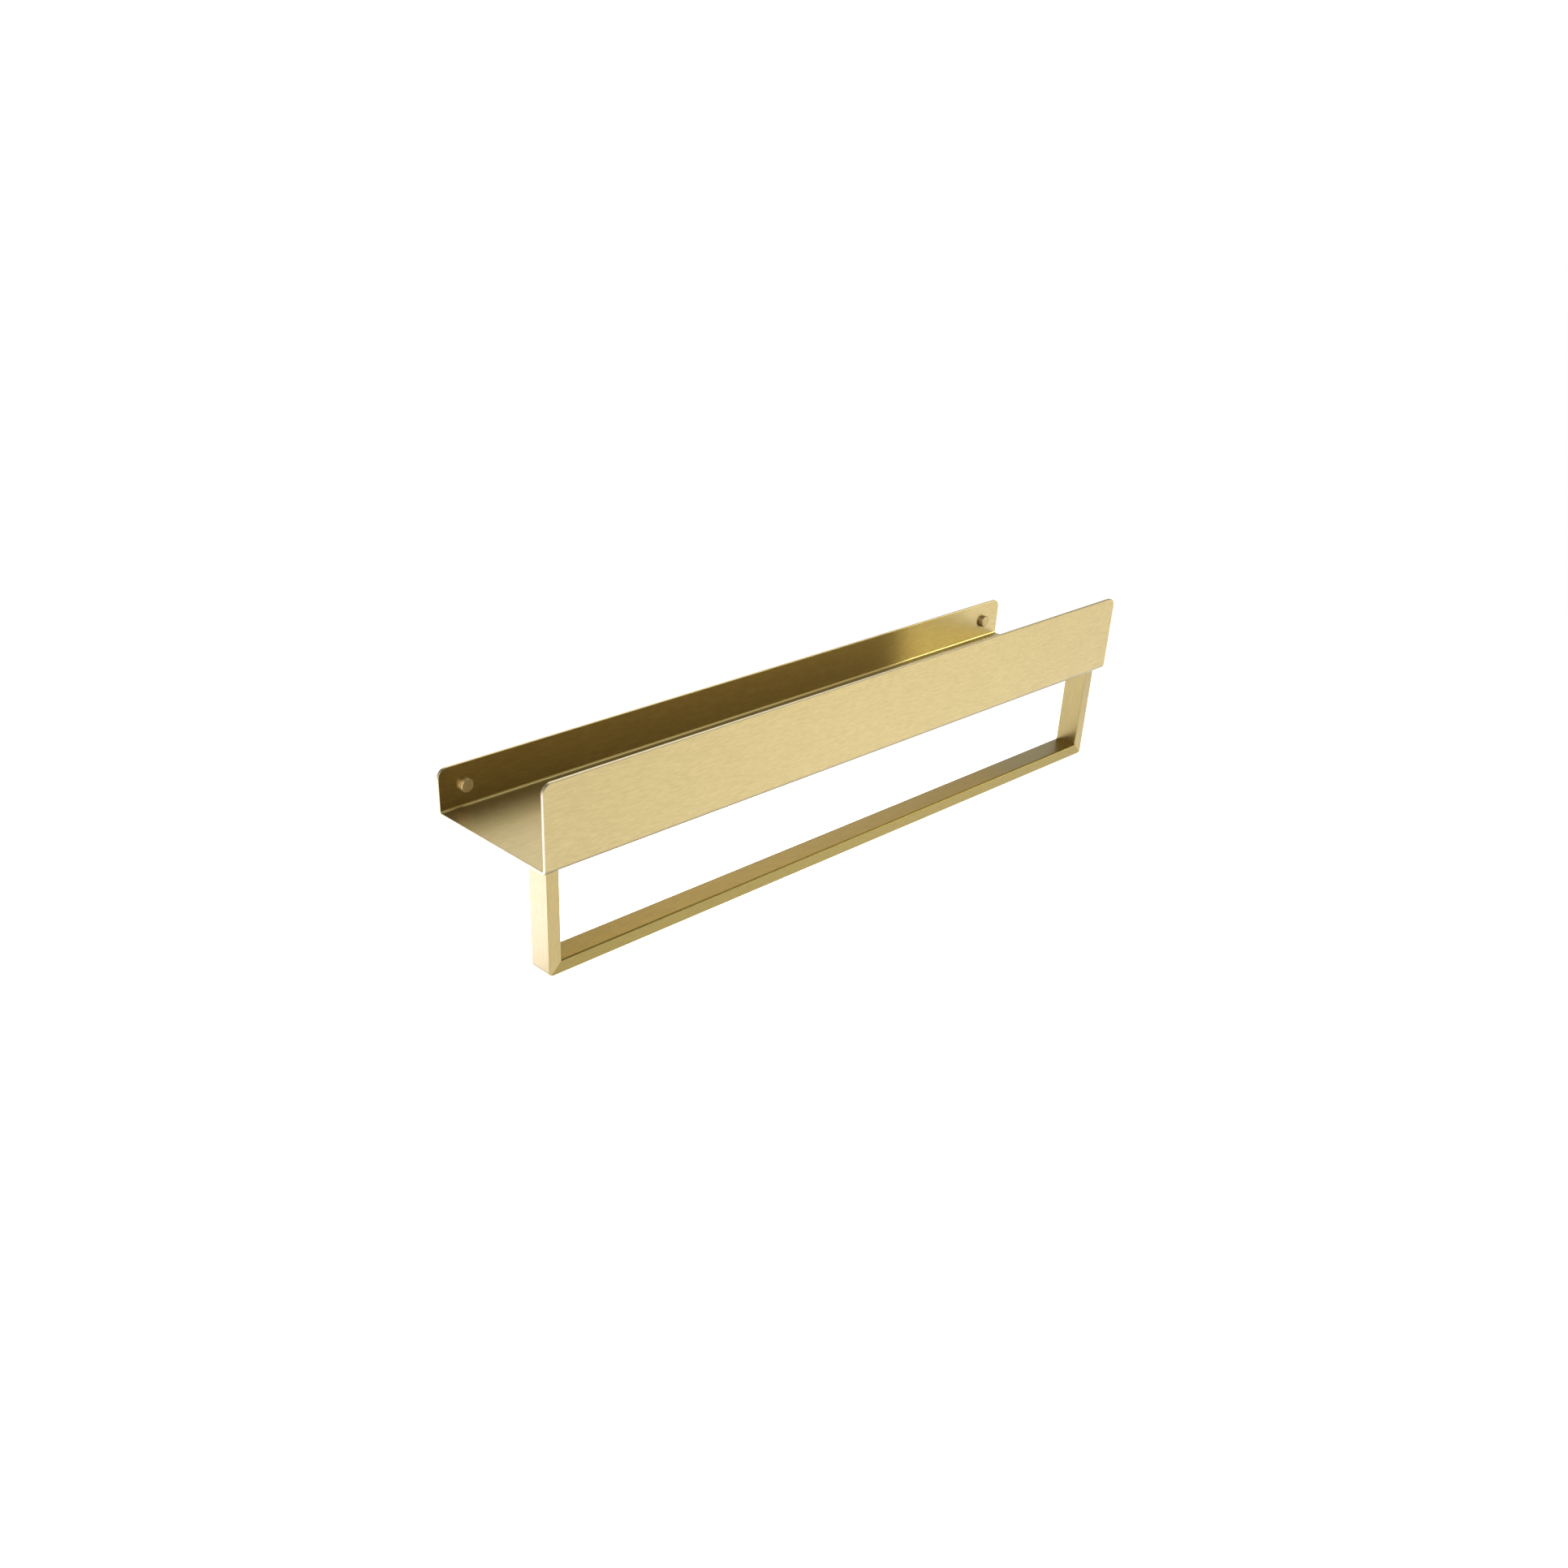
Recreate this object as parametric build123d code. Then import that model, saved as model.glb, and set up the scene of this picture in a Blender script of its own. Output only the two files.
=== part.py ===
from build123d import *
import os

# Wall shelf with a towel rail: a folded sheet-metal tray on two wall screws.
# Millimetres. +X runs along the wall, +Y points into the wall, +Z is up.
# The origin is half-way between the two wall screws, on the tray's wall face.

# Tray
LENGTH = 600.0            # along the wall
DEPTH = 118.0             # wall face to the front of the lip
SHEET = 2.5               # sheet thickness
BEND_INSIDE = 1.5         # inside radius of both folds
LIP_HEIGHT = 62.0         # front lip, above the tray's underside
FLANGE_HEIGHT = 33.5      # wall flange, above the tray's underside
CORNER_RADIUS = 7.0       # top corners of the lip and the flange
EDGE_BREAK = 0.3          # rounding left by deburring all round the sheet
UNDERSIDE = -17.5         # the tray's underside, below the screw axes

# Towel rail: rectangular tube, mitred and welded into a U under the lip
TUBE_DEPTH = 20.0         # across the front-to-back direction
TUBE_HEIGHT = 10.0        # the tube's narrow side
TUBE_WALL = 1.2
TUBE_EDGE = 1.2           # outside rounding of the tube's long edges
RAIL_CORNER = 3.0         # ground outside corner of each mitre
RAIL_INSET_END = 5.5      # tray end to the leg's outer face
RAIL_INSET_FRONT = 6.0    # lip's front face to the rail's front face
RAIL_DROP = 78.0          # tray's underside to the rail's underside

# Wall fixings, one at each end
SCREW_INSET = 21.0        # tray end to the screw axis
FLANGE_HOLE = 5.5         # diameter
SCREW_DIAMETER = 3.5
SCREW_CORE = 2.4          # diameter between the threads
SCREW_LENGTH = 30.0
SCREW_PITCH = 1.6
SCREW_TIP = 4.0           # length of the point
HEAD_DIAMETER = 7.0       # countersunk, 90 degrees
HEAD_RIM = 0.2            # straight edge of the head
RECESS_SPAN = 4.0         # cross recess, tip to tip
RECESS_SLOT = 0.9
RECESS_DEPTH = 1.2
PLUG_DIAMETER = 5.0
PLUG_LENGTH = 25.0
PLUG_BORE = 3.6           # diameter once the screw has spread it
PLUG_SETBACK = 0.1        # below the wall face
PLUG_COLLAR = 8.0         # plain stretch at the mouth
PLUG_RIB_PITCH = 2.6
PLUG_RIB_DEPTH = 0.3
PLUG_SLIT = 0.8

# Cover caps, each pushed over a ring that its screw clamps to the flange
RING_DIAMETER = 8.7
RING_THICKNESS = 2.2
RING_HOLE = 3.9
SEAT_CLEARANCE = 0.03     # screw head to countersink, radial
CAP_DIAMETER = 10.0
CAP_HEIGHT = 3.2
CAP_FACE = 0.7            # thickness of the cap's front
CAP_CLEARANCE = 0.05      # cap bore to ring, radial
CAP_CHAMFER = 0.6

BEND_OUTSIDE = BEND_INSIDE + SHEET
LIP_TOP = UNDERSIDE + LIP_HEIGHT
FLANGE_TOP = UNDERSIDE + FLANGE_HEIGHT
DECK = UNDERSIDE + SHEET
SCREW_X = LENGTH / 2 - SCREW_INSET
RAIL_X = LENGTH / 2 - RAIL_INSET_END
RAIL_FRONT = -DEPTH + RAIL_INSET_FRONT
RAIL_BOTTOM = UNDERSIDE - RAIL_DROP


def tray_section():
    """The folded sheet seen from its end, as (Y, Z)."""
    outside = FilletPolyline(
        (0, FLANGE_TOP),
        (0, UNDERSIDE),
        (-DEPTH, UNDERSIDE),
        (-DEPTH, LIP_TOP),
        radius=BEND_OUTSIDE,
    )
    lip_edge = Line((-DEPTH, LIP_TOP), (-DEPTH + SHEET, LIP_TOP))
    inside = FilletPolyline(
        (-DEPTH + SHEET, LIP_TOP),
        (-DEPTH + SHEET, DECK),
        (-SHEET, DECK),
        (-SHEET, FLANGE_TOP),
        radius=BEND_INSIDE,
    )
    flange_edge = Line((-SHEET, FLANGE_TOP), (0, FLANGE_TOP))
    return make_face([outside, lip_edge, inside, flange_edge])


def sheet_rim(sheet):
    """The long edges all round the sheet, on both of its sides."""
    widest_cut_face = LENGTH * SHEET
    cut_faces = [f for f in sheet.faces() if abs(f.normal_at().Y) < 0.01 and f.area <= widest_cut_face]
    rim = []
    for face in cut_faces:
        for edge in face.edges():
            across_sheet = edge.geom_type == GeomType.LINE and edge.length < SHEET + 0.01
            if not across_sheet:
                rim.append(edge)
    return rim


def tray():
    sheet = extrude(Plane.YZ * tray_section(), amount=LENGTH / 2, both=True)
    top_corners = [e for e in sheet.edges().filter_by(Axis.Y) if e.length < SHEET + 0.01]
    sheet = fillet(top_corners, CORNER_RADIUS)
    sheet = fillet(sheet_rim(sheet), EDGE_BREAK)
    for side in (-1, 1):
        hole = Cylinder(FLANGE_HOLE / 2, 4 * SHEET, rotation=(90, 0, 0))
        sheet -= Pos(side * SCREW_X, 0, 0) * hole
    return sheet


def rail_band(inset, corner):
    """The U of the rail as (X, Z), shrunk by inset from its outer skin."""
    outer_x = RAIL_X - inset
    outer_z = RAIL_BOTTOM + inset
    inner_x = RAIL_X - TUBE_HEIGHT + inset
    inner_z = RAIL_BOTTOM + TUBE_HEIGHT - inset
    outer = FilletPolyline(
        (-outer_x, UNDERSIDE),
        (-outer_x, outer_z),
        (outer_x, outer_z),
        (outer_x, UNDERSIDE),
        radius=corner,
    )
    right_end = Line((outer_x, UNDERSIDE), (inner_x, UNDERSIDE))
    inner = Polyline(
        (inner_x, UNDERSIDE),
        (inner_x, inner_z),
        (-inner_x, inner_z),
        (-inner_x, UNDERSIDE),
    )
    left_end = Line((-inner_x, UNDERSIDE), (-outer_x, UNDERSIDE))
    return make_face([outer, right_end, inner, left_end])


def rail_pieces():
    """Left leg, crossbar and right leg, cut apart at the two mitres."""
    front = Plane(origin=(0, RAIL_FRONT, 0), x_dir=(1, 0, 0), z_dir=(0, -1, 0))
    skin = extrude(front * rail_band(0, RAIL_CORNER), amount=-TUBE_DEPTH)
    long_edges = []
    for edge in skin.edges():
        on_front = abs(edge.center().Y - RAIL_FRONT) < 0.01
        on_back = abs(edge.center().Y - RAIL_FRONT - TUBE_DEPTH) < 0.01
        at_tray = abs(edge.center().Z - UNDERSIDE) < 0.01
        if (on_front or on_back) and not at_tray:
            long_edges.append(edge)
    skin = fillet(long_edges, TUBE_EDGE)
    hollow_plane = front.offset(-TUBE_WALL)
    hollow = rail_band(TUBE_WALL, RAIL_CORNER - TUBE_WALL)
    rail = skin - extrude(hollow_plane * hollow, amount=-(TUBE_DEPTH - 2 * TUBE_WALL))
    left_mitre = Plane(origin=(-RAIL_X, 0, RAIL_BOTTOM), x_dir=(0, 1, 0), z_dir=(1, 0, -1))
    right_mitre = Plane(origin=(RAIL_X, 0, RAIL_BOTTOM), x_dir=(0, 1, 0), z_dir=(-1, 0, -1))
    left_leg = split(rail, bisect_by=left_mitre, keep=Keep.BOTTOM)
    rest = split(rail, bisect_by=left_mitre, keep=Keep.TOP)
    right_leg = split(rest, bisect_by=right_mitre, keep=Keep.BOTTOM)
    crossbar = split(rest, bisect_by=right_mitre, keep=Keep.TOP)
    return left_leg, crossbar, right_leg


def turned(points):
    """A solid of revolution about the screw axis from (radius, Y) points."""
    outline = make_face(Polyline(*points, close=True))
    return revolve(outline, axis=Axis.Y)


def wall_screw():
    """Countersunk screw: a 90 degree head, a ridged shank and a point."""
    head_y = -SHEET - RING_THICKNESS
    tip_y = head_y + SCREW_LENGTH
    shank_r = SCREW_DIAMETER / 2
    core_r = SCREW_CORE / 2
    cone_y = head_y + HEAD_RIM + HEAD_DIAMETER / 2 - shank_r
    points = [
        (0, head_y),
        (HEAD_DIAMETER / 2, head_y),
        (HEAD_DIAMETER / 2, head_y + HEAD_RIM),
        (shank_r, cone_y),
        (shank_r, cone_y + 1),
    ]
    ridge_y = cone_y + 1
    while ridge_y + SCREW_PITCH < tip_y - SCREW_TIP:
        points.append((core_r, ridge_y + SCREW_PITCH * 0.3))
        points.append((core_r, ridge_y + SCREW_PITCH * 0.6))
        points.append((shank_r, ridge_y + SCREW_PITCH))
        ridge_y += SCREW_PITCH
    points.append((core_r, ridge_y + SCREW_PITCH * 0.3))
    points.append((core_r, tip_y - SCREW_TIP))
    points.append((0, tip_y))
    screw = turned(points)
    recess_y = head_y + RECESS_DEPTH / 2
    for size in ((RECESS_SPAN, RECESS_SLOT), (RECESS_SLOT, RECESS_SPAN)):
        screw -= Pos(0, recess_y, 0) * Box(size[0], RECESS_DEPTH, size[1])
    return screw


def wall_plug():
    """Ribbed plug with a plain collar, slit from the ribs to its end."""
    outer_r = PLUG_DIAMETER / 2
    root_r = outer_r - PLUG_RIB_DEPTH
    bore_r = PLUG_BORE / 2
    start = PLUG_SETBACK
    end = start + PLUG_LENGTH
    points = [(bore_r, start), (outer_r, start), (outer_r, start + PLUG_COLLAR)]
    rib_y = start + PLUG_COLLAR
    while rib_y + PLUG_RIB_PITCH < end:
        points.append((root_r, rib_y + PLUG_RIB_DEPTH))
        points.append((outer_r, rib_y + PLUG_RIB_PITCH))
        rib_y += PLUG_RIB_PITCH
    points.append((root_r, rib_y + PLUG_RIB_DEPTH))
    points.append((root_r, end))
    points.append((bore_r, end))
    plug = turned(points)
    slit_start = start + PLUG_COLLAR + 1
    slit_length = end - slit_start
    slit = Box(PLUG_DIAMETER + 1, slit_length + 1, PLUG_SLIT)
    return plug - Pos(0, slit_start + (slit_length + 1) / 2, 0) * slit


def cap_base():
    """Flat ring under the screw head, countersunk, that the cap grips."""
    front = -SHEET - RING_THICKNESS
    seat_r = HEAD_DIAMETER / 2 + SEAT_CLEARANCE
    hole_r = RING_HOLE / 2
    seat_y = front + HEAD_RIM
    points = [
        (hole_r, -SHEET),
        (RING_DIAMETER / 2, -SHEET),
        (RING_DIAMETER / 2, front),
        (seat_r, front),
        (seat_r, seat_y),
        (hole_r, seat_y + seat_r - hole_r),
    ]
    return turned(points)


def cover_cap():
    """Round cap, open towards the flange, with a bevelled front edge."""
    back = -SHEET
    front = back - CAP_HEIGHT
    outer_r = CAP_DIAMETER / 2
    bore_r = RING_DIAMETER / 2 + CAP_CLEARANCE
    points = [
        (bore_r, back),
        (outer_r, back),
        (outer_r, front + CAP_CHAMFER),
        (outer_r - CAP_CHAMFER, front),
        (0, front),
        (0, front + CAP_FACE),
        (bore_r, front + CAP_FACE),
    ]
    return turned(points)


os.makedirs("parts", exist_ok=True)
left_leg, crossbar, right_leg = rail_pieces()
nodes = {
    "tray": tray(),
    "rail_left_leg": left_leg,
    "rail_crossbar": crossbar,
    "rail_right_leg": right_leg,
}
for side, x in (("left", -SCREW_X), ("right", SCREW_X)):
    nodes[side + "_wall_plug"] = Pos(x, 0, 0) * wall_plug()
    nodes[side + "_wall_screw"] = Pos(x, 0, 0) * wall_screw()
    nodes[side + "_cap_base"] = Pos(x, 0, 0) * cap_base()
    nodes[side + "_cover_cap"] = Pos(x, 0, 0) * cover_cap()
for name, piece in nodes.items():
    export_step(piece, "parts/" + name + ".step")
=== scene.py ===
import math

import bpy
from mathutils import Matrix, Vector


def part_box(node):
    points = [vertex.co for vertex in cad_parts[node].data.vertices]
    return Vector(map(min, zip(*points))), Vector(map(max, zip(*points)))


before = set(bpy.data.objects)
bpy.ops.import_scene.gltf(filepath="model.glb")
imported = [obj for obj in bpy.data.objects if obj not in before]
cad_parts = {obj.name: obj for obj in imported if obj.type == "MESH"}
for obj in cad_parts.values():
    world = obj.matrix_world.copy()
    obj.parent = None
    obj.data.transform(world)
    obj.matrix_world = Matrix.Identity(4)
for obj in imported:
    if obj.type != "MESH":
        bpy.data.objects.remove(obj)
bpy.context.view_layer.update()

tray_low, tray_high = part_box("tray")


# ---------------------------------------------------------------- camera

CAMERA_PLACE = Vector((-0.7831, -0.7698, 0.4062))
CAMERA_HEADING = 42.133       # degrees from +Y towards +X
CAMERA_DIP = 29.657           # degrees below the horizon
CAMERA_ROLL = 0.938           # degrees, right side up
CAMERA_SENSOR = 36.0          # mm
CAMERA_LENS = 33.756          # mm
CAMERA_SHIFT = (0.0713, 0.0933)
CAMERA_CLIP = (0.01, 60.0)    # metres


def make_camera():
    """The camera that took the photograph, solved from the shelf's own edges."""
    data = bpy.data.cameras.new("camera")
    data.sensor_width = CAMERA_SENSOR
    data.lens = CAMERA_LENS
    data.shift_x, data.shift_y = CAMERA_SHIFT
    data.clip_start, data.clip_end = CAMERA_CLIP
    camera = bpy.data.objects.new("camera", data)
    heading = Matrix.Rotation(math.radians(-CAMERA_HEADING), 4, "Z")
    dip = Matrix.Rotation(math.radians(90 - CAMERA_DIP), 4, "X")
    roll = Matrix.Rotation(math.radians(CAMERA_ROLL), 4, "Z")
    camera.matrix_world = Matrix.Translation(CAMERA_PLACE) @ heading @ dip @ roll
    bpy.context.scene.collection.objects.link(camera)
    bpy.context.scene.camera = camera


# ---------------------------------------------------------------- node helpers

def rgb(colour):
    """A colour as the four numbers that a colour socket takes."""
    return (*colour, 1.0)


class Graph:
    """A node tree, with short calls for the nodes used here. A value is a number, a vector or a socket."""

    def __init__(self, tree):
        self.tree = tree

    def add(self, kind, **settings):
        node = self.tree.nodes.new(kind)
        for key, value in settings.items():
            setattr(node, key, value)
        return node

    def link(self, source, target):
        self.tree.links.new(source, target)

    def feed(self, socket, value):
        if isinstance(value, bpy.types.NodeSocket):
            self.link(value, socket)
        else:
            socket.default_value = value

    def place(self):
        """Where a point lies, in metres. Every object sits at the origin, so this is the CAD's frame."""
        return self.add("ShaderNodeTexCoord").outputs["Object"]

    def facing(self):
        """The X, Y and Z of the surface's normal."""
        return self.split(self.add("ShaderNodeNewGeometry").outputs["Normal"])

    def math(self, operation, a, b=0.0):
        node = self.add("ShaderNodeMath", operation=operation)
        self.feed(node.inputs[0], a)
        self.feed(node.inputs[1], b)
        return node.outputs[0]

    def weighted(self, values, shares):
        """The sum of several values, each times its share."""
        total = 0.0
        for value, share in zip(values, shares):
            total = self.math("ADD", total, self.math("MULTIPLY", value, share))
        return total

    def vectors(self, operation, a, b=(0.0, 0.0, 0.0), label=""):
        """Vector maths. DOT_PRODUCT, DISTANCE and LENGTH give a number, and the rest give a vector."""
        node = self.add("ShaderNodeVectorMath", operation=operation, label=label)
        self.feed(node.inputs[0], a)
        self.feed(node.inputs[1], b)
        number = operation in ("DOT_PRODUCT", "DISTANCE", "LENGTH")
        return node.outputs["Value" if number else "Vector"]

    def split(self, vector):
        node = self.add("ShaderNodeSeparateXYZ")
        self.link(vector, node.inputs[0])
        return node.outputs

    def join(self, x, y, z):
        node = self.add("ShaderNodeCombineXYZ")
        for socket, value in zip(node.inputs, (x, y, z)):
            self.feed(socket, value)
        return node.outputs[0]

    def noise(self, vector, sizes, detail, rough):
        """Noise from 0 to 1, with lumps of about the given size along each axis."""
        node = self.add("ShaderNodeTexNoise", noise_dimensions="3D")
        self.link(self.vectors("MULTIPLY", vector, [1 / size for size in sizes]), node.inputs["Vector"])
        node.inputs["Scale"].default_value = 1.0
        node.inputs["Detail"].default_value = detail
        node.inputs["Roughness"].default_value = rough
        return node.outputs["Fac"]

    def spread(self, value, limits, low=0.0, high=1.0):
        """A value between two limits turned into one between low and high, and held there beyond them."""
        node = self.add("ShaderNodeMapRange", clamp=True)
        self.feed(node.inputs["Value"], value)
        node.inputs["From Min"].default_value, node.inputs["From Max"].default_value = limits
        node.inputs["To Min"].default_value = low
        node.inputs["To Max"].default_value = high
        return node.outputs["Result"]

    def around(self, value, limits, middle, reach):
        """The same, between reach below the middle and reach above it."""
        return self.spread(value, limits, middle - reach, middle + reach)

    def blend(self, factor, a, b):
        """Colour a where the factor is 0, colour b where it is 1."""
        node = self.add("ShaderNodeMix", data_type="RGBA")
        self.feed(node.inputs["Factor"], factor)
        self.feed(node.inputs[6], a)
        self.feed(node.inputs[7], b)
        return node.outputs[2]

    def tones(self, factor, pair):
        """A colour between a dark and a light tone."""
        dark, light = pair
        return self.blend(factor, rgb(dark), rgb(light))

    def bump(self, height, strength, distance):
        node = self.add("ShaderNodeBump")
        node.inputs["Strength"].default_value = strength
        node.inputs["Distance"].default_value = distance
        self.link(height, node.inputs["Height"])
        return node.outputs["Normal"]


def new_material(name):
    material = bpy.data.materials.new(name)
    material.use_nodes = True
    graph = Graph(material.node_tree)
    shader = material.node_tree.nodes["Principled BSDF"]
    return material, graph, shader


def dress(node, material):
    """Gives a CAD node its material."""
    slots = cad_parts[node].data.materials
    slots.clear()
    slots.append(material)


# ---------------------------------------------------------------- brushed brass

ALONG_X, ALONG_Z = (1, 0, 0), (0, 0, 1)
FINE_GRAIN = (0.030, 0.0004)      # metres along and across the brush strokes
BROAD_GRAIN = (0.007, 0.0016)
CLOUD = 0.028                     # metres
STREAK_SHARES = (0.40, 0.50, 0.10)      # of the fine grain, the broad grain and the clouds
STREAK_LIMITS = (0.36, 0.64)      # of their sum, at the dark tone and at the light tone
NOISE_LIMITS = (0.3, 0.7)         # most of any noise lies between these
BRASS_ROUGHNESS = 0.29
BRASS_REACH = 0.006               # how far grain and clouds each take the roughness up and down
CUT_ROUGHER = 0.14                # added to the roughness on cut edges
REAR_FOLD_SMOOTHER = 0.06         # taken off it on the rear fold
BRASS_BUMP = (0.25, 0.000012)     # strength, and depth in metres
BRASS_ANISOTROPY = 0.85
QUARTER_TURN = 0.25               # stretches the highlights across the tangent
OFF_AXIS = 0.01                   # keeps the tangent from being quite square to an end face
LACQUER_ROUGHNESS = 0.28

# Cut edges: partly the bare metal's own lighter tone, partly a painted highlight.
CUT_EDGE_TONE_AND_HIGHLIGHT = (0.720, 0.620, 0.380)
REAR_FOLD_HIGHLIGHT_COLOUR = (0.900, 0.760, 0.330)        # painted highlight along the rear fold
FRONT_FOLD_SHADE_COLOUR = (0.270, 0.215, 0.095)       # painted shade along the front fold
END_LIMITS = (0.15, 0.35)         # of the normal's X, from the sheet's faces to its ends
UP_LIMITS = (0.5, 0.8)            # of the normal's Z, from its sides to what faces up
FOLD_LIMITS = (0.08, 0.32)        # of the normal's Y times its Z, from flat to half-way round a fold
OVER_DECK = 0.012                 # metres above the tray's underside, clear of the deck and the folds
MASK_STEP = 0.001                 # metres over which a mask comes in


def grained(grain, size):
    """A noise's size along each axis, drawn out along the grain so that it turns into brush strokes."""
    along, across = size
    return [along if axis else across for axis in grain]


def cut_edges(g, place):
    """1 on the cut edges of the folded sheet: its ends, its round corners and its two top edges."""
    facing = g.facing()
    ends = g.spread(g.math("ABSOLUTE", facing["X"]), END_LIMITS)
    upward = g.spread(facing["Z"], UP_LIMITS)
    start = tray_low.z + OVER_DECK
    above = g.spread(g.split(place)["Z"], (start, start + MASK_STEP))
    return g.math("MAXIMUM", ends, g.math("MULTIPLY", upward, above))


def sheet_folds(g, place):
    """Two masks, 1 half-way round the rear fold and half-way round the front fold."""
    facing = g.facing()
    slant = g.math("MULTIPLY", facing["Y"], facing["Z"])
    folds = g.spread(g.math("ABSOLUTE", slant), FOLD_LIMITS)
    middle = (tray_low.y + tray_high.y) / 2
    rear = g.spread(g.split(place)["Y"], (middle - MASK_STEP, middle + MASK_STEP))
    front = g.math("SUBTRACT", 1.0, rear)
    return g.math("MULTIPLY", folds, rear), g.math("MULTIPLY", folds, front)


def brushed_brass(name, grain, pair, coat, sheet=False):
    """Lacquered brass tone with a fine straight grain. Folded sheet also gets lighter cut edges, partly
    the bare metal's own tone and partly a painted highlight, a painted highlight along its rear fold and
    painted shade along its front fold.
    """
    material, g, shader = new_material(name)
    place = g.place()
    fine = g.noise(place, grained(grain, FINE_GRAIN), detail=3.0, rough=0.6)
    broad = g.noise(place, grained(grain, BROAD_GRAIN), detail=2.0, rough=0.6)
    cloud = g.noise(place, [CLOUD] * 3, detail=3.0, rough=0.55)
    streaks = g.weighted((fine, broad, cloud), STREAK_SHARES)
    colour = g.tones(g.spread(streaks, STREAK_LIMITS), pair)
    rough = g.math("ADD", g.around(fine, NOISE_LIMITS, BRASS_ROUGHNESS, BRASS_REACH),
                   g.around(cloud, NOISE_LIMITS, 0.0, BRASS_REACH))
    if sheet:
        edge = cut_edges(g, place)
        rear_fold, front_fold = sheet_folds(g, place)
        # Cut edges: bare metal tone and painted highlight.
        colour = g.blend(edge, colour, rgb(CUT_EDGE_TONE_AND_HIGHLIGHT))
        # Painted highlight along the rear fold.
        colour = g.blend(rear_fold, colour, rgb(REAR_FOLD_HIGHLIGHT_COLOUR))
        # Painted shade along the front fold.
        colour = g.blend(front_fold, colour, rgb(FRONT_FOLD_SHADE_COLOUR))
        rough = g.math("ADD", rough, g.math("MULTIPLY", edge, CUT_ROUGHER))
        rough = g.math("SUBTRACT", rough, g.math("MULTIPLY", rear_fold, REAR_FOLD_SMOOTHER))
    g.link(colour, shader.inputs["Base Color"])
    g.link(rough, shader.inputs["Roughness"])
    g.link(g.bump(fine, *BRASS_BUMP), shader.inputs["Normal"])
    g.link(g.join(*[value or OFF_AXIS for value in grain]), shader.inputs["Tangent"])
    shader.inputs["Metallic"].default_value = 1.0
    shader.inputs["Anisotropic"].default_value = BRASS_ANISOTROPY
    shader.inputs["Anisotropic Rotation"].default_value = QUARTER_TURN
    shader.inputs["Coat Weight"].default_value = coat
    shader.inputs["Coat Roughness"].default_value = LACQUER_ROUGHNESS
    return material


# ---------------------------------------------------------------- caps, rings, screws and plugs

LATHE_MARK = 0.00015              # metres
TURNED_CLOUD = 0.003
TURNED_SHARES = (0.6, 0.4)        # of the lathe marks and the clouds
TURNED_LIMITS = (0.35, 0.65)      # of their sum, at the dark tone and at the light tone
TURNED_REACH = 0.04               # how far they take the roughness up and down
TURNED_BUMP = (0.3, 0.00001)
TURNED_METALLIC = 0.65
TURNED_ANISOTROPY = 0.5

PLAIN_CLOUD = 0.002               # metres
PLAIN_SHADE = 0.88                # of the colour, where it is darkest
PLAIN_REACH = 0.05                # how far the clouds take the roughness up and down

NYLON_CLOUD = 0.001               # metres
NYLON_TONES = (0.30, 0.30, 0.29), (0.38, 0.38, 0.37)
NYLON_ROUGHNESS = (0.45, 0.6)
NYLON_BUMP = (0.3, 0.00003)       # strength, and depth in metres


def turned_metal(name, node, pair, roughness):
    """Metal turned on a lathe about the node's own middle line, which runs along Y."""
    material, g, shader = new_material(name)
    low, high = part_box(node)
    middle = (low + high) / 2
    place = g.place()
    x, y, z = g.split(g.vectors("SUBTRACT", place, (middle.x, 0.0, middle.z)))
    radius = g.math("SQRT", g.math("ADD", g.math("MULTIPLY", x, x), g.math("MULTIPLY", z, z)))
    section = g.join(radius, y, 0.0)
    marks = g.noise(section, (LATHE_MARK, LATHE_MARK, 1.0), detail=2.0, rough=0.6)
    cloud = g.noise(place, [TURNED_CLOUD] * 3, detail=3.0, rough=0.6)
    tone = g.weighted((marks, cloud), TURNED_SHARES)
    g.link(g.tones(g.spread(tone, TURNED_LIMITS), pair), shader.inputs["Base Color"])
    g.link(g.around(tone, TURNED_LIMITS, roughness, TURNED_REACH), shader.inputs["Roughness"])
    g.link(g.bump(marks, *TURNED_BUMP), shader.inputs["Normal"])
    g.link(g.join(z, 0.0, g.math("MULTIPLY", x, -1.0)), shader.inputs["Tangent"])
    shader.inputs["Metallic"].default_value = TURNED_METALLIC
    shader.inputs["Anisotropic"].default_value = TURNED_ANISOTROPY
    shader.inputs["Anisotropic Rotation"].default_value = QUARTER_TURN
    return material


def plain_metal(name, colour, roughness):
    """Plated metal, a little uneven in tone and gloss."""
    material, g, shader = new_material(name)
    cloud = g.noise(g.place(), [PLAIN_CLOUD] * 3, detail=3.0, rough=0.6)
    shaded = [c * PLAIN_SHADE for c in colour]
    g.link(g.tones(g.spread(cloud, NOISE_LIMITS), (shaded, colour)), shader.inputs["Base Color"])
    g.link(g.around(cloud, NOISE_LIMITS, roughness, PLAIN_REACH), shader.inputs["Roughness"])
    shader.inputs["Metallic"].default_value = 1.0
    return material


def moulded_nylon(name):
    """Grey nylon with a moulded, faintly pitted skin."""
    material, g, shader = new_material(name)
    cloud = g.noise(g.place(), [NYLON_CLOUD] * 3, detail=4.0, rough=0.6)
    g.link(g.tones(cloud, NYLON_TONES), shader.inputs["Base Color"])
    g.link(g.spread(cloud, NOISE_LIMITS, *NYLON_ROUGHNESS), shader.inputs["Roughness"])
    g.link(g.bump(cloud, *NYLON_BUMP), shader.inputs["Normal"])
    return material


# ---------------------------------------------------------------- stage and light

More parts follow.
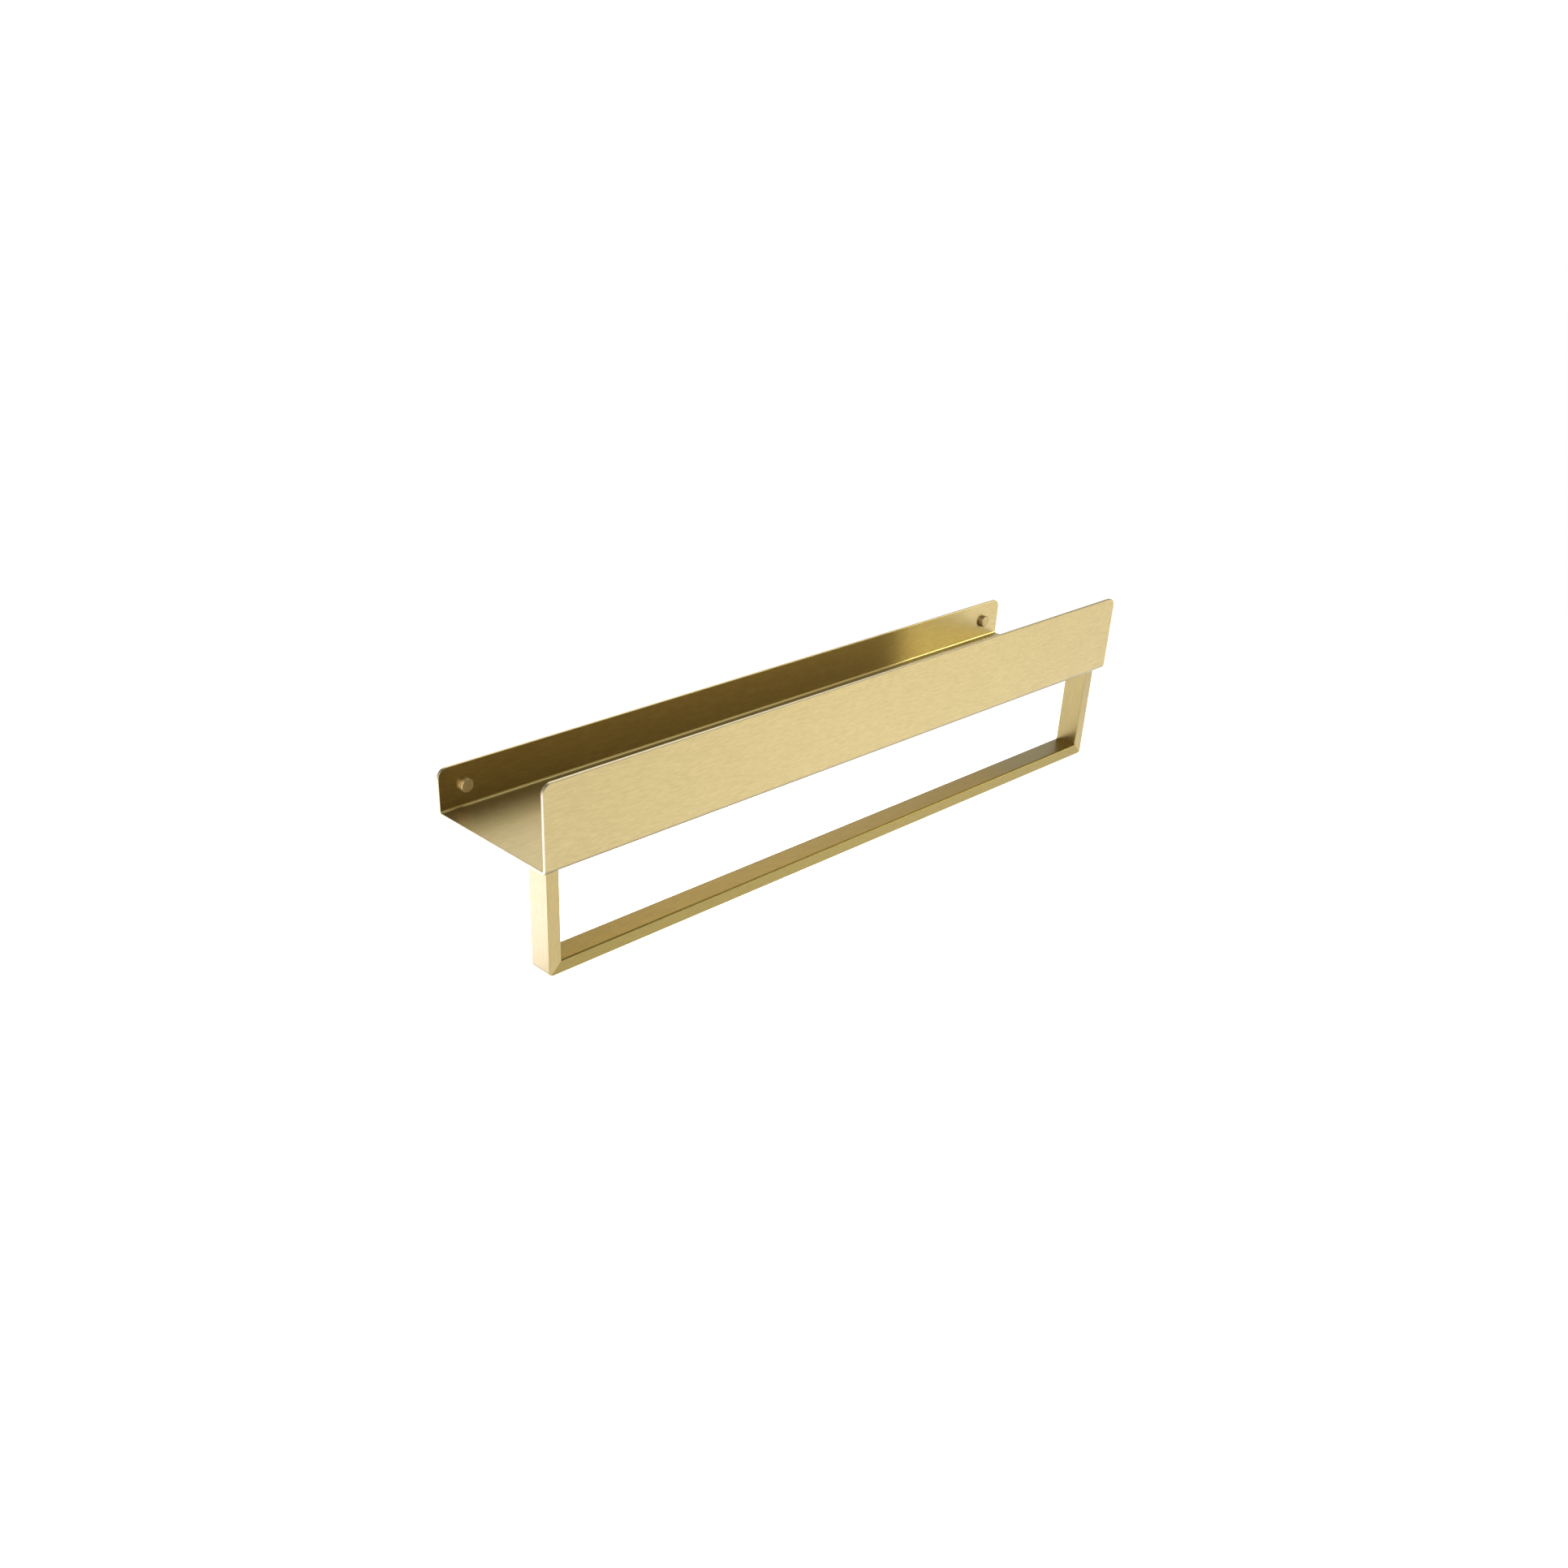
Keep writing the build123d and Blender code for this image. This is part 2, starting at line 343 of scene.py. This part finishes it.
FLOOR = -0.60                 # metres, a white table below the shelf
FLOOR_HALF = 12.0             # metres
FLOOR_GLOW = 1.42             # radiance of the white table, where white is 1
FLOOR_GLOW_FAR = 1.0          # and where it has faded with distance
FLOOR_FADE = (1.9, 3.0)       # metres from the origin over which it fades
SKY_GLOW = 0.02               # radiance of the dark studio above it
SKY_FADE = (0.0, 0.17)        # height of a direction, of 1, over which table turns into studio
BACKDROP = (1.1, 1.1, 1.1)    # white, which only the camera sees

# Soft lights: heading from +Y towards +X and elevation in degrees, spread in degrees, radiance.
SOFTBOXES = (
    ("deck_light_low", 45, 28, 14, (0.52, 0.53, 0.56)),
    ("deck_light_high", 45, 48, 14, (1.70, 1.70, 1.62)),
    ("deck_light_top", 56, 62, 12, (0.90, 0.90, 0.90)),
    ("rear_low", 42, 13, 8, (0.6, 0.6, 0.6)),
    ("rear_left", 330, 28, 15, (0.6, 0.6, 0.6)),
    ("camera_side", 228, 25, 14, (2.5, 2.5, 2.5)),
    ("window_low", 122, 5, 7, (1.3, 1.2, 0.6)),
    ("window", 131, 9, 6, (4.8, 4.5, 2.5)),
    ("strip_1", 130, 32, 7, (0.16, 0.16, 0.16)),
    ("strip_2", 118, 40, 7, (0.24, 0.24, 0.24)),
    ("strip_3", 112, 48, 8, (0.32, 0.32, 0.32)),
    ("strip_4", 95, 58, 10, (0.45, 0.45, 0.45)),
    ("overhead", 10, 80, 12, (0.55, 0.55, 0.55)),
)
# Pools of light on the table: place in metres, spread in metres, radiance above the table's own.
POOLS = (
    ("rear_right", 0.60, 0.85, 0.38, 3.4),
    ("front_right", 0.88, -0.93, 0.24, 0.22),
)
# A soft card below and behind the left end: place, the point it faces, size in metres, colour, watts.
CARD_PLACE = Vector((-0.48, 0.175, -0.18))
CARD_AIM = Vector((-0.29, -0.08, -0.02))
CARD_SIZE = 0.22
CARD_COLOUR = (0.50, 0.54, 0.92)
CARD_POWER = 0.42


def soft_pool(g, name, place, x, y, spread):
    """A round soft pool of light on the table: 1 in its middle, falling off smoothly over its spread."""
    away = g.vectors("DISTANCE", place, (x, y, FLOOR), label=name)
    return g.math("EXPONENT", g.math("MULTIPLY", g.math("MULTIPLY", away, away), -0.5 / spread ** 2))


def soft_lobe(g, name, direction, heading, elevation, spread):
    """A round soft light in the sky: 1 in its middle, falling off smoothly over its spread."""
    turn, rise = math.radians(heading), math.radians(elevation)
    middle = (math.sin(turn) * math.cos(rise), math.cos(turn) * math.cos(rise), math.sin(rise))
    away = g.math("SUBTRACT", g.vectors("DOT_PRODUCT", direction, middle, label=name), 1.0)
    return g.math("EXPONENT", g.math("MULTIPLY", away, 1 / math.radians(spread) ** 2))


def make_stage():
    """The table, which glows and reflects nothing."""
    mesh = bpy.data.meshes.new("floor")
    sides = ((-1, -1), (1, -1), (1, 1), (-1, 1))
    corners = [(x * FLOOR_HALF, y * FLOOR_HALF, FLOOR) for x, y in sides]
    mesh.from_pydata(corners, [], [(0, 1, 2, 3)])
    floor = bpy.data.objects.new("floor", mesh)
    bpy.context.scene.collection.objects.link(floor)
    material, g, shader = new_material("floor_white")
    place = g.place()
    glow = g.spread(g.vectors("LENGTH", place), FLOOR_FADE, FLOOR_GLOW, FLOOR_GLOW_FAR)
    for name, x, y, spread, radiance in POOLS:
        pool = soft_pool(g, name, place, x, y, spread)
        glow = g.math("ADD", glow, g.math("MULTIPLY", pool, radiance))
    shader.inputs["Base Color"].default_value = rgb((0.0, 0.0, 0.0))
    shader.inputs["Roughness"].default_value = 1.0
    shader.inputs["Specular IOR Level"].default_value = 0.0
    shader.inputs["Emission Color"].default_value = rgb((1.0, 1.0, 1.0))
    g.link(glow, shader.inputs["Emission Strength"])
    mesh.materials.append(material)


def make_card():
    """The kicker: an area light that only shows as a reflection in the faces of the left end."""
    data = bpy.data.lights.new("left_card", "AREA")
    data.shape = "DISK"
    data.size = CARD_SIZE
    data.energy = CARD_POWER
    data.color = CARD_COLOUR
    card = bpy.data.objects.new("left_card", data)
    card.location = CARD_PLACE
    card.rotation_euler = (CARD_AIM - CARD_PLACE).to_track_quat("-Z", "Y").to_euler()
    card.visible_camera = False
    bpy.context.scene.collection.objects.link(card)


def make_world():
    """The studio: the table's glow below the horizon, dark with soft lights above it."""
    world = bpy.data.worlds.new("studio")
    world.use_nodes = True
    bpy.context.scene.world = world
    g = Graph(world.node_tree)
    background = world.node_tree.nodes["Background"]
    direction = g.add("ShaderNodeTexCoord").outputs["Generated"]
    glow = g.spread(g.split(direction)["Z"], SKY_FADE, FLOOR_GLOW, SKY_GLOW)
    for name, heading, elevation, spread, radiance in SOFTBOXES:
        lobe = soft_lobe(g, name, direction, heading, elevation, spread)
        glow = g.vectors("ADD", glow, g.vectors("MULTIPLY", radiance, lobe))
    seen = g.add("ShaderNodeLightPath").outputs["Is Camera Ray"]
    g.link(g.blend(seen, glow, rgb(BACKDROP)), background.inputs["Color"])
    background.inputs["Strength"].default_value = 1.0


# ---------------------------------------------------------------- the shelf

# The dark and the light tone of each finish. The crossbar's tones are the legs' brass darkened with
# painted shade.
SHEET_TONES = (0.452, 0.354, 0.152), (0.548, 0.434, 0.200)
# Painted shade: the crossbar is the same tube as the legs, made darker.
BAR_SHADED_TONES = (0.264, 0.197, 0.050), (0.321, 0.244, 0.068)
LEG_TONES = (0.375, 0.288, 0.109), (0.449, 0.346, 0.140)
CAP_TONES = (0.680, 0.510, 0.240), (0.800, 0.610, 0.300)
RING_TONES = (0.50, 0.50, 0.51), (0.60, 0.60, 0.61)
SCREW_COLOUR = (0.60, 0.59, 0.57)
SHEET_COAT, BAR_COAT, LEG_COAT = 0.6, 0.3, 0.6
CAP_ROUGHNESS, RING_ROUGHNESS, SCREW_ROUGHNESS = 0.45, 0.35, 0.30


def make_looks():
    """Every CAD node's own finish."""
    dress("tray", brushed_brass("brushed_brass_sheet", ALONG_X, SHEET_TONES, SHEET_COAT, sheet=True))
    dress("rail_crossbar", brushed_brass("brushed_brass_bar", ALONG_X, BAR_SHADED_TONES, BAR_COAT))
    leg = brushed_brass("brushed_brass_leg", ALONG_Z, LEG_TONES, LEG_COAT)
    dress("rail_left_leg", leg)
    dress("rail_right_leg", leg)
    screw = plain_metal("screw_steel", SCREW_COLOUR, SCREW_ROUGHNESS)
    plug = moulded_nylon("plug_nylon")
    for side in ("left", "right"):
        cap = side + "_cover_cap"
        ring = side + "_cap_base"
        dress(cap, turned_metal(side + "_cap_copper", cap, CAP_TONES, CAP_ROUGHNESS))
        dress(ring, turned_metal(side + "_ring_steel", ring, RING_TONES, RING_ROUGHNESS))
        dress(side + "_wall_screw", screw)
        dress(side + "_wall_plug", plug)


make_camera()
make_stage()
make_card()
make_world()
make_looks()
bpy.context.scene.view_settings.view_transform = "Standard"
